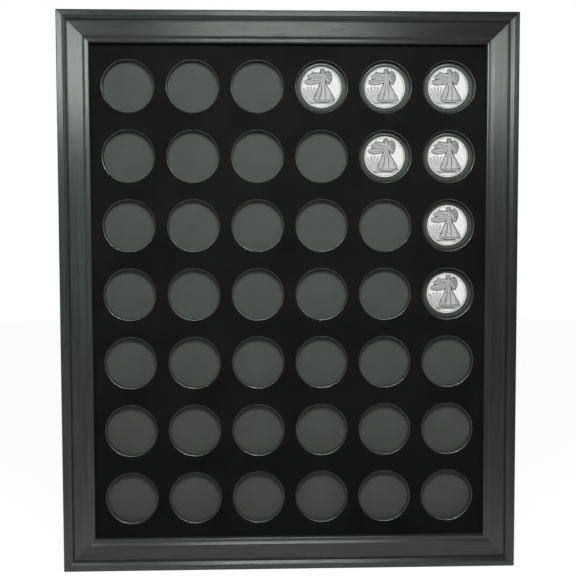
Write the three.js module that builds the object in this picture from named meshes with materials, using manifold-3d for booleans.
// A wall-hung coin display frame for 42 coin capsules, in millimetres.
// +X is right, +Z is up, the front faces -Y, and the flat back lies in the plane Y = 0.
// The origin is the centre of the back.

import * as THREE from 'three';
import { mergeVertices } from 'three/addons/utils/BufferGeometryUtils.js';
import Module from 'manifold-3d';

const wasm = await Module();
wasm.setup();

// ---------------------------------------------------------------- driving dimensions

// the mitred frame
const SIGHT_WIDTH = 389.8;
const SIGHT_HEIGHT = 489.9;
const MOULDING_WIDTH = 30;
const MOULDING_DEPTH = 28;
const LIP_OVERLAP = 8.9;
const REBATE_DEPTH = 16;
const MITRE_GAP = 0.08;

// the boards stacked in the rebate, from the glass backwards
const BOARD_CLEARANCE = 0.6;
const GLASS_THICKNESS = 2;
const INSERT_THICKNESS = 9.5;
const FLOOR_THICKNESS = 1.5;
const PANEL_THICKNESS = 3;

// the grid of round pockets
const COLUMNS = 6;
const ROWS = 7;
const COLUMN_PITCH = 63.5;
const ROW_PITCH = 68.38;
const GRID_DROP = 0.7;
const POCKET_DIAMETER = 52.4;

// a coin in its two-part capsule
const COIN_DIAMETER = 40.6;
const COIN_THICKNESS = 3;
const CAPSULE_DIAMETER = 50.4;
const CAPSULE_THICKNESS = 6.4;
const CAPSULE_SKIN = 1.3;
const CAPSULE_SPIGOT_DIAMETER = 45.6;
const CAPSULE_RIM_DIAMETER = 46.4;
const CAPSULE_GAP = 0.15;
const CAPSULE_CHAMFER = 0.4;

// the pockets that hold a coin, as [row, column] counted from the top left
const FILLED_POCKETS = [[1, 4], [1, 5], [1, 6], [2, 5], [2, 6], [3, 6], [4, 6]];

// the hardware on the back
const BUTTON_REACH = 19;
const BUTTON_PIVOT_RADIUS = 6.5;
const BUTTON_TIP_RADIUS = 5;
const BUTTON_THICKNESS = 1;
const BUTTON_SEAT = 13.2;
const TOP_BUTTON_OFFSET = 110;
const SIDE_BUTTON_OFFSET = 160;
const SCREW_SHANK_DIAMETER = 3.2;
const SCREW_HEAD_DIAMETER = 7.4;
const SCREW_HEAD_HEIGHT = 2.2;
const SCREW_DEPTH = 13;
const RECESS_LENGTH = 4.2;
const RECESS_WIDTH = 0.9;
const RECESS_DEPTH = 1.2;
const SHANK_GAP = 0.35;
const SEAT_GAP = 0.2;
const HANGER_HEIGHT = 100;
const HANGER_INSET = 10.5;
const STRAP_WIDTH = 12;
const STRAP_LENGTH = 26;
const STRAP_THICKNESS = 1.2;
const STRAP_SCREW_DROP = 19;
const RING_WIRE_DIAMETER = 2.4;
const RING_HALF_WIDTH = 9;
const RING_DROP = 12;
const RING_GAP = 0.3;
const BUMPER_DIAMETER = 10;
const BUMPER_HEIGHT = 3;
const BUMPER_OFFSET = 185;
const FASTENER_LEG = 6;
const FASTENER_THICKNESS = 0.9;
const FASTENER_DEPTH = 9;
const FASTENER_INSET = 10;
const SLOT_GAP = 0.35;

// how finely round shapes are divided
const POCKET_STEPS = 24;
const COIN_STEPS = 20;
const SMALL_STEPS = 12;

// ---------------------------------------------------------------- sizes that follow

const FRAME_WIDTH = SIGHT_WIDTH + 2 * MOULDING_WIDTH;
const FRAME_HEIGHT = SIGHT_HEIGHT + 2 * MOULDING_WIDTH;
const BOARD_WIDTH = SIGHT_WIDTH + 2 * (LIP_OVERLAP - BOARD_CLEARANCE);
const BOARD_HEIGHT = SIGHT_HEIGHT + 2 * (LIP_OVERLAP - BOARD_CLEARANCE);
const GLASS_FRONT = -REBATE_DEPTH;
const INSERT_FRONT = GLASS_FRONT + GLASS_THICKNESS;
const FLOOR_FRONT = INSERT_FRONT + INSERT_THICKNESS;
const PANEL_FRONT = FLOOR_FRONT + FLOOR_THICKNESS;
const CAPSULE_FRONT = FLOOR_FRONT - CAPSULE_THICKNESS;
const HINGE_HEIGHT = SEAT_GAP + STRAP_THICKNESS + RING_GAP + RING_WIRE_DIAMETER / 2;

// ---------------------------------------------------------------- finishes

function finish(color, roughness, metalness, opacity = 1) {
  return new THREE.MeshStandardMaterial({ color, roughness, metalness, opacity, transparent: opacity < 1 });
}

const charcoalWood = () => finish(0x3d413f, 0.5, 0);
const clearGlass = () => finish(0xf2f7f5, 0.02, 0, 0.15);
const blackFlock = () => finish(0x0b0c0b, 1, 0);
const greyCard = () => finish(0x4c4e4d, 0.95, 0);
const hardboard = () => finish(0x5e4631, 0.8, 0);
const silver = () => finish(0xe4e5e6, 0.15, 1);
const clearPlastic = () => finish(0xf4f6f6, 0.06, 0, 0.25);
const zincSteel = () => finish(0xb7babd, 0.35, 0.9);
const blackRubber = () => finish(0x17181a, 0.85, 0);

// ---------------------------------------------------------------- solids

/** A closed three.js geometry as a solid that can be cut and joined. */
function toSolid(geometry) {
  const bare = geometry.index ? geometry.toNonIndexed() : geometry.clone();
  bare.deleteAttribute('normal');
  bare.deleteAttribute('uv');
  const merged = mergeVertices(bare, 1e-4);
  return new wasm.Manifold(new wasm.Mesh({
    numProp: 3,
    vertProperties: new Float32Array(merged.attributes.position.array),
    triVerts: new Uint32Array(merged.index.array),
  }));
}

/** A solid back as a three.js geometry. */
function toGeometry(solid) {
  const mesh = solid.getMesh();
  const geometry = new THREE.BufferGeometry();
  geometry.setAttribute('position', new THREE.BufferAttribute(mesh.vertProperties, 3));
  geometry.setIndex(new THREE.BufferAttribute(mesh.triVerts, 1));
  geometry.computeVertexNormals();
  return geometry;
}

/** The geometry with every cutter taken out of it. */
function cut(geometry, cutters) {
  const body = cutters.reduce((solid, cutter) => solid.subtract(toSolid(cutter)), toSolid(geometry));
  return toGeometry(body);
}

/** An outline drawn in X and Z, made solid from the plane Y = front backwards by depth. */
function plate(outline, front, depth, curveSegments = SMALL_STEPS / 2) {
  const geometry = new THREE.ExtrudeGeometry(outline, { depth, bevelEnabled: false, curveSegments });
  geometry.rotateX(Math.PI / 2);
  geometry.translate(0, front + depth, 0);
  return geometry;
}

/** A solid of revolution about Y from [radius, y] points. */
function turned(points, steps) {
  return new THREE.LatheGeometry(points.map(([radius, y]) => new THREE.Vector2(radius, y)), steps);
}

function rectangle(width, height) {
  const shape = new THREE.Shape();
  shape.moveTo(-width / 2, -height / 2);
  shape.lineTo(width / 2, -height / 2);
  shape.lineTo(width / 2, height / 2);
  shape.lineTo(-width / 2, height / 2);
  shape.closePath();
  return shape;
}

/** A round hole from the back plane into the wood for a screw. */
function pilotHole(x, z) {
  const radius = SCREW_SHANK_DIAMETER / 2 + SHANK_GAP;
  const length = SCREW_DEPTH + 2;
  const hole = new THREE.CylinderGeometry(radius, radius, length, SMALL_STEPS);
  hole.translate(x, 1 - length / 2, z);
  return hole;
}

// ---------------------------------------------------------------- moulding

/** The moulding's section: x runs from the outer edge to the sight edge, y from the back to the front. */
function mouldingSection() {
  const edgeRound = 1.2;
  const beadEnd = 5;
  const beadBevel = { start: 6.2, high: 27.5, end: 8.2, low: 26.2 };
  const grooveStart = 9.1;
  const grooveEnd = 9.8;
  const grooveLevel = 23.3;
  const face = { start: 10.8, high: 23.9, end: 23.7, low: 22.5 };
  const stepBevel = { start: 24.1, high: 22.3, end: 25.3, low: 21.5 };
  const lipStart = 26.3;
  const lipLevel = 20.9;
  const lipRound = 1.6;
  const rebateEdge = MOULDING_WIDTH - LIP_OVERLAP;

  const section = new THREE.Shape();
  section.moveTo(0, 0);
  section.lineTo(0, MOULDING_DEPTH - edgeRound);
  section.absarc(edgeRound, MOULDING_DEPTH - edgeRound, edgeRound, Math.PI, Math.PI / 2, true);
  section.lineTo(beadEnd, MOULDING_DEPTH);
  section.quadraticCurveTo(beadEnd + 0.6, MOULDING_DEPTH, beadBevel.start, beadBevel.high);
  section.lineTo(beadBevel.end, beadBevel.low);
  section.quadraticCurveTo(grooveStart, beadBevel.low - 0.6, grooveStart, grooveLevel);
  section.lineTo(grooveEnd, grooveLevel);
  section.quadraticCurveTo(grooveEnd + 0.2, face.high, face.start, face.high);
  section.lineTo(face.end, face.low);
  section.lineTo(stepBevel.start, stepBevel.high);
  section.lineTo(stepBevel.end, stepBevel.low);
  section.quadraticCurveTo(lipStart - 0.3, lipLevel, lipStart, lipLevel);
  section.lineTo(MOULDING_WIDTH - lipRound, lipLevel);
  section.absarc(MOULDING_WIDTH - lipRound, lipLevel - lipRound, lipRound, Math.PI / 2, 0, true);
  section.lineTo(MOULDING_WIDTH, REBATE_DEPTH);
  section.lineTo(rebateEdge, REBATE_DEPTH);
  section.lineTo(rebateEdge, 0);
  section.closePath();
  return section;
}

/** The V of a corner fastener, its point on the mitre and towards +X. */
function vOutline(leg, thickness) {
  const spread = THREE.MathUtils.degToRad(48);
  const across = thickness / Math.sin(spread);
  const reachX = leg * Math.cos(spread);
  const reachZ = leg * Math.sin(spread);
  const shape = new THREE.Shape();
  shape.moveTo(across / 2, 0);
  shape.lineTo(across / 2 - reachX, reachZ);
  shape.lineTo(-across / 2 - reachX, reachZ);
  shape.lineTo(-across / 2, 0);
  shape.lineTo(-across / 2 - reachX, -reachZ);
  shape.lineTo(across / 2 - reachX, -reachZ);
  shape.closePath();
  return shape;
}

function fastenerSlot(x, z, towardsCorner) {
  const slot = plate(
    vOutline(FASTENER_LEG + SLOT_GAP, FASTENER_THICKNESS + 2 * SLOT_GAP),
    -FASTENER_DEPTH - SLOT_GAP,
    FASTENER_DEPTH + SLOT_GAP + 1,
  );
  slot.rotateY(towardsCorner);
  slot.translate(x, 0, z);
  return slot;
}

/**
 * One mitred length of moulding along X, its outer edge up at z = 0, with the pilot holes for the screws
 * in its back and a slot at each mitre for the corner fastener.
 */
function mitredLength(outerLength, pilots) {
  const bar = new THREE.ExtrudeGeometry(mouldingSection(), {
    depth: 1,
    steps: 1,
    bevelEnabled: false,
    curveSegments: 7,
  });
  const position = bar.attributes.position;
  for (let i = 0; i < position.count; i += 1) {
    const fromOuterEdge = position.getX(i);
    const fromBack = position.getY(i);
    const end = position.getZ(i) > 0.5 ? -1 : 1;
    position.setXYZ(i, end * (outerLength / 2 - fromOuterEdge - MITRE_GAP), -fromBack, -fromOuterEdge);
  }
  const cornerX = outerLength / 2 - FASTENER_INSET;
  const slots = [
    fastenerSlot(cornerX, -FASTENER_INSET, -Math.PI / 4),
    fastenerSlot(-cornerX, -FASTENER_INSET, -3 * Math.PI / 4),
  ];
  return cut(bar, [...slots, ...pilots.map(([x, inset]) => pilotHole(x, -inset))]);
}

// ---------------------------------------------------------------- boards

function board(front, thickness) {
  return plate(rectangle(BOARD_WIDTH, BOARD_HEIGHT), front, thickness);
}

/** The centre of a pocket, with row 1 at the top and column 1 at the left. */
function pocketCentre(row, column) {
  return {
    x: (column - (COLUMNS + 1) / 2) * COLUMN_PITCH,
    z: ((ROWS + 1) / 2 - row) * ROW_PITCH - GRID_DROP,
  };
}

/** The board that the pockets are cut right through. */
function insertBoard() {
  const outline = rectangle(BOARD_WIDTH, BOARD_HEIGHT);
  for (let row = 1; row <= ROWS; row += 1) {
    for (let column = 1; column <= COLUMNS; column += 1) {
      const { x, z } = pocketCentre(row, column);
      const pocket = new THREE.Path();
      pocket.absarc(x, z, POCKET_DIAMETER / 2, 0, 2 * Math.PI, true);
      outline.holes.push(pocket);
    }
  }
  return plate(outline, INSERT_FRONT, INSERT_THICKNESS, POCKET_STEPS / 2);
}

// ---------------------------------------------------------------- coin and capsule

/** A struck coin with a raised rim, centred on Y. */
function coin() {
  const radius = COIN_DIAMETER / 2;
  const half = COIN_THICKNESS / 2;
  const rimWidth = 1.2;
  const field = half - 0.35;
  return turned([
    [0, -field],
    [radius - rimWidth, -field],
    [radius - rimWidth, -half],
    [radius, -half],
    [radius, half],
    [radius - rimWidth, half],
    [radius - rimWidth, field],
    [0, field],
  ], COIN_STEPS);
}

/** The front half of a capsule: a clear face with a rim that closes over the back half's spigot. */
function capsuleLid() {
  const outer = CAPSULE_DIAMETER / 2;
  const rimInner = CAPSULE_RIM_DIAMETER / 2;
  const recess = CAPSULE_THICKNESS / 2;
  return turned([
    [0, 0],
    [outer - CAPSULE_CHAMFER, 0],
    [outer, CAPSULE_CHAMFER],
    [outer, CAPSULE_THICKNESS - CAPSULE_SKIN - CAPSULE_GAP],
    [rimInner, CAPSULE_THICKNESS - CAPSULE_SKIN - CAPSULE_GAP],
    [rimInner, recess - CAPSULE_GAP],
    [COIN_DIAMETER / 2 + CAPSULE_GAP, recess - CAPSULE_GAP],
    [COIN_DIAMETER / 2 + CAPSULE_GAP, CAPSULE_SKIN],
    [0, CAPSULE_SKIN],
  ], COIN_STEPS);
}

/** The back half: a clear face with the spigot that the front half closes over. */
function capsuleBase() {
  const outer = CAPSULE_DIAMETER / 2;
  const spigot = CAPSULE_SPIGOT_DIAMETER / 2;
  const back = CAPSULE_THICKNESS;
  return turned([
    [0, back - CAPSULE_SKIN],
    [COIN_DIAMETER / 2 + CAPSULE_GAP, back - CAPSULE_SKIN],
    [COIN_DIAMETER / 2 + CAPSULE_GAP, CAPSULE_THICKNESS / 2],
    [spigot, CAPSULE_THICKNESS / 2],
    [spigot, back - CAPSULE_SKIN],
    [outer, back - CAPSULE_SKIN],
    [outer, back - CAPSULE_CHAMFER],
    [outer - CAPSULE_CHAMFER, back],
    [0, back],
  ], COIN_STEPS);
}

// ---------------------------------------------------------------- hardware on the back

/** A pan-head wood screw along Y with a cross recess; its head is at +Y and y = 0 is under the head. */
function screw() {
  const shank = SCREW_SHANK_DIAMETER / 2;
  const head = SCREW_HEAD_DIAMETER / 2;
  const pointLength = 3;
  const body = turned([
    [0, -SCREW_DEPTH],
    [shank, -SCREW_DEPTH + pointLength],
    [shank, 0],
    [head, 0],
    [head, SCREW_HEAD_HEIGHT * 0.45],
    [head * 0.8, SCREW_HEAD_HEIGHT * 0.85],
    [head * 0.45, SCREW_HEAD_HEIGHT],
    [0, SCREW_HEAD_HEIGHT],
  ], SMALL_STEPS);
  const recess = new THREE.BoxGeometry(RECESS_LENGTH, 2 * RECESS_DEPTH, RECESS_WIDTH);
  recess.translate(0, SCREW_HEAD_HEIGHT, 0);
  const slots = [recess, recess.clone().rotateY(Math.PI / 2)];
  return cut(body, slots);
}

/** A turn button lying on the back, its pivot at the origin and its tip towards +X. */
function turnButton() {
  const lean = Math.asin((BUTTON_PIVOT_RADIUS - BUTTON_TIP_RADIUS) / BUTTON_REACH);
  const outline = new THREE.Shape();
  outline.absarc(BUTTON_REACH, 0, BUTTON_TIP_RADIUS, lean - Math.PI / 2, Math.PI / 2 - lean, false);
  outline.absarc(0, 0, BUTTON_PIVOT_RADIUS, Math.PI / 2 - lean, 1.5 * Math.PI + lean, false);
  outline.closePath();
  const hole = new THREE.Path();
  hole.absarc(0, 0, SCREW_SHANK_DIAMETER / 2 + SHANK_GAP, 0, 2 * Math.PI, true);
  outline.holes.push(hole);
  return plate(outline, SEAT_GAP, BUTTON_THICKNESS);
}

/** The steel strap of a hanger: flat on the wood, with its upper end curled round the ring's bar. */
function hangerStrap() {
  const inner = RING_WIRE_DIAMETER / 2 + RING_GAP;
  const outer = inner + STRAP_THICKNESS;
  const curlEnd = Math.PI * 0.86;
  const side = new THREE.Shape();
  side.moveTo(-STRAP_LENGTH, SEAT_GAP);
  side.lineTo(0, SEAT_GAP);
  side.absarc(0, HINGE_HEIGHT, outer, -Math.PI / 2, curlEnd, false);
  side.absarc(0, HINGE_HEIGHT, inner, curlEnd, -Math.PI / 2, true);
  side.lineTo(-STRAP_LENGTH, SEAT_GAP + STRAP_THICKNESS);
  side.closePath();
  const strap = new THREE.ExtrudeGeometry(side, {
    depth: STRAP_WIDTH,
    bevelEnabled: false,
    curveSegments: 9,
  });
  strap.translate(0, 0, -STRAP_WIDTH / 2);
  // from (length, height, width) to X across, Y out from the back, Z up
  strap.applyMatrix4(new THREE.Matrix4().makeBasis(
    new THREE.Vector3(0, 0, 1),
    new THREE.Vector3(0, 1, 0),
    new THREE.Vector3(-1, 0, 0),
  ));

  const half = STRAP_WIDTH / 2;
  const above = HINGE_HEIGHT + outer;
  const roundEnd = new THREE.Shape();
  roundEnd.moveTo(-half, above);
  roundEnd.absarc(0, half - STRAP_LENGTH, half, Math.PI, 2 * Math.PI, false);
  roundEnd.lineTo(half, above);
  roundEnd.closePath();
  const blank = toSolid(strap).intersect(toSolid(plate(roundEnd, -1, above + 2)));
  const holeRadius = SCREW_SHANK_DIAMETER / 2 + SHANK_GAP;
  const hole = new THREE.CylinderGeometry(holeRadius, holeRadius, 3 * STRAP_THICKNESS, SMALL_STEPS);
  hole.translate(0, SEAT_GAP, -STRAP_SCREW_DROP);
  return toGeometry(blank.subtract(toSolid(hole)));
}

/** A D ring of steel wire hanging down, its straight bar along X on the hinge axis at the origin. */
function dRing() {
  const wire = RING_WIRE_DIAMETER / 2;
  const legEnd = RING_DROP - RING_HALF_WIDTH;
  const bow = [];
  const bowSteps = 8;
  for (let i = 0; i <= bowSteps; i += 1) {
    const angle = Math.PI + Math.PI * i / bowSteps;
    bow.push(new THREE.Vector3(
      RING_HALF_WIDTH * Math.cos(angle),
      0,
      RING_HALF_WIDTH * Math.sin(angle) - legEnd,
    ));
  }
  const route = [
    new THREE.Vector3(-RING_HALF_WIDTH, 0, 0),
    ...bow,
    new THREE.Vector3(RING_HALF_WIDTH, 0, 0),
  ];
  const section = new THREE.Shape();
  section.absarc(0, 0, wire * 0.96, 0, 2 * Math.PI, false);
  const bowWire = new THREE.ExtrudeGeometry(section, {
    extrudePath: new THREE.CatmullRomCurve3(route, false, 'centripetal'),
    steps: 16,
    curveSegments: 4,
    bevelEnabled: false,
  });
  const bar = new THREE.CylinderGeometry(wire, wire, 2 * (RING_HALF_WIDTH + wire), SMALL_STEPS);
  bar.rotateZ(Math.PI / 2);
  return toGeometry(toSolid(bar).add(toSolid(bowWire)));
}

/** A soft round pad that keeps the frame's lower edge off the wall. */
function bumper() {
  const radius = BUMPER_DIAMETER / 2;
  return turned([
    [0, 0],
    [radius, 0],
    [radius * 0.94, BUMPER_HEIGHT * 0.6],
    [radius * 0.7, BUMPER_HEIGHT],
    [0, BUMPER_HEIGHT],
  ], SMALL_STEPS);
}

function cornerFastener() {
  return plate(vOutline(FASTENER_LEG, FASTENER_THICKNESS), -FASTENER_DEPTH, FASTENER_DEPTH - SEAT_GAP);
}

// ---------------------------------------------------------------- assembly

const frame = new THREE.Group();

function place(name, geometry, material, x = 0, y = 0, z = 0, turn = 0) {
  const mesh = new THREE.Mesh(geometry, material);
  mesh.name = name;
  mesh.position.set(x, y, z);
  mesh.rotation.y = turn;
  frame.add(mesh);
}

// the mitred frame; a side of the frame is named by the way it faces, and turned to face it
const buttonPilots = (offset) => [[-offset, BUTTON_SEAT], [offset, BUTTON_SEAT]];
const hangerScrewHeight = HANGER_HEIGHT - STRAP_SCREW_DROP;
const railPilots = buttonPilots(TOP_BUTTON_OFFSET);
const stilePilots = (hangerX) => [...buttonPilots(SIDE_BUTTON_OFFSET), [hangerX, HANGER_INSET]];
const halfWidth = FRAME_WIDTH / 2;
const halfHeight = FRAME_HEIGHT / 2;
place('top_rail', mitredLength(FRAME_WIDTH, railPilots), charcoalWood(), 0, 0, halfHeight, 0);
place('bottom_rail', mitredLength(FRAME_WIDTH, railPilots), charcoalWood(), 0, 0, -halfHeight, Math.PI);
place(
  'left_stile',
  mitredLength(FRAME_HEIGHT, stilePilots(hangerScrewHeight)),
  charcoalWood(),
  -halfWidth,
  0,
  0,
  -Math.PI / 2,
);
place(
  'right_stile',
  mitredLength(FRAME_HEIGHT, stilePilots(-hangerScrewHeight)),
  charcoalWood(),
  halfWidth,
  0,
  0,
  Math.PI / 2,
);

// the stack in the rebate
place('front_glass', board(GLASS_FRONT, GLASS_THICKNESS), clearGlass());
place('pocket_insert', insertBoard(), blackFlock());
place('pocket_floor_board', board(FLOOR_FRONT, FLOOR_THICKNESS), greyCard());
place('back_panel', board(PANEL_FRONT, PANEL_THICKNESS), hardboard());

// coins in their capsules
for (const [row, column] of FILLED_POCKETS) {
  const { x, z } = pocketCentre(row, column);
  const where = `row${row}_col${column}`;
  place(`capsule_lid_${where}`, capsuleLid(), clearPlastic(), x, CAPSULE_FRONT - CAPSULE_GAP, z);
  place(`coin_${where}`, coin(), silver(), x, CAPSULE_FRONT - CAPSULE_GAP + CAPSULE_THICKNESS / 2, z);
  place(`capsule_base_${where}`, capsuleBase(), clearPlastic(), x, CAPSULE_FRONT - CAPSULE_GAP, z);
}

// turn buttons and their screws, two on each side of the frame
const buttonSeats = [
  ['top_left', -TOP_BUTTON_OFFSET, halfHeight - BUTTON_SEAT, Math.PI / 2],
  ['top_right', TOP_BUTTON_OFFSET, halfHeight - BUTTON_SEAT, Math.PI / 2],
  ['bottom_left', -TOP_BUTTON_OFFSET, BUTTON_SEAT - halfHeight, -Math.PI / 2],
  ['bottom_right', TOP_BUTTON_OFFSET, BUTTON_SEAT - halfHeight, -Math.PI / 2],
  ['left_upper', BUTTON_SEAT - halfWidth, SIDE_BUTTON_OFFSET, 0],
  ['left_lower', BUTTON_SEAT - halfWidth, -SIDE_BUTTON_OFFSET, 0],
  ['right_upper', halfWidth - BUTTON_SEAT, SIDE_BUTTON_OFFSET, Math.PI],
  ['right_lower', halfWidth - BUTTON_SEAT, -SIDE_BUTTON_OFFSET, Math.PI],
];
const buttonScrewSeat = 2 * SEAT_GAP + BUTTON_THICKNESS;
for (const [where, x, z, turn] of buttonSeats) {
  place(`turn_button_${where}`, turnButton(), zincSteel(), x, 0, z, turn);
  place(`button_screw_${where}`, screw(), zincSteel(), x, buttonScrewSeat, z);
}

// hangers, bumpers and corner fasteners, in pairs
const strapScrewSeat = 2 * SEAT_GAP + STRAP_THICKNESS;
for (const [side, sign] of [['left', -1], ['right', 1]]) {
  const hangerX = sign * (halfWidth - HANGER_INSET);
  place(`hanger_strap_${side}`, hangerStrap(), zincSteel(), hangerX, 0, HANGER_HEIGHT);
  place(`hanger_ring_${side}`, dRing(), zincSteel(), hangerX, HINGE_HEIGHT, HANGER_HEIGHT);
  place(`hanger_screw_${side}`, screw(), zincSteel(), hangerX, strapScrewSeat, hangerScrewHeight);
  place(`wall_bumper_${side}`, bumper(), blackRubber(), sign * BUMPER_OFFSET, 0, HANGER_INSET - halfHeight);
  for (const [level, up] of [['top', 1], ['bottom', -1]]) {
    const towardsCorner = -Math.atan2(up, sign);
    place(
      `corner_fastener_${level}_${side}`,
      cornerFastener(),
      zincSteel(),
      sign * (halfWidth - FASTENER_INSET),
      0,
      up * (halfHeight - FASTENER_INSET),
      towardsCorner,
    );
  }
}

export default frame;
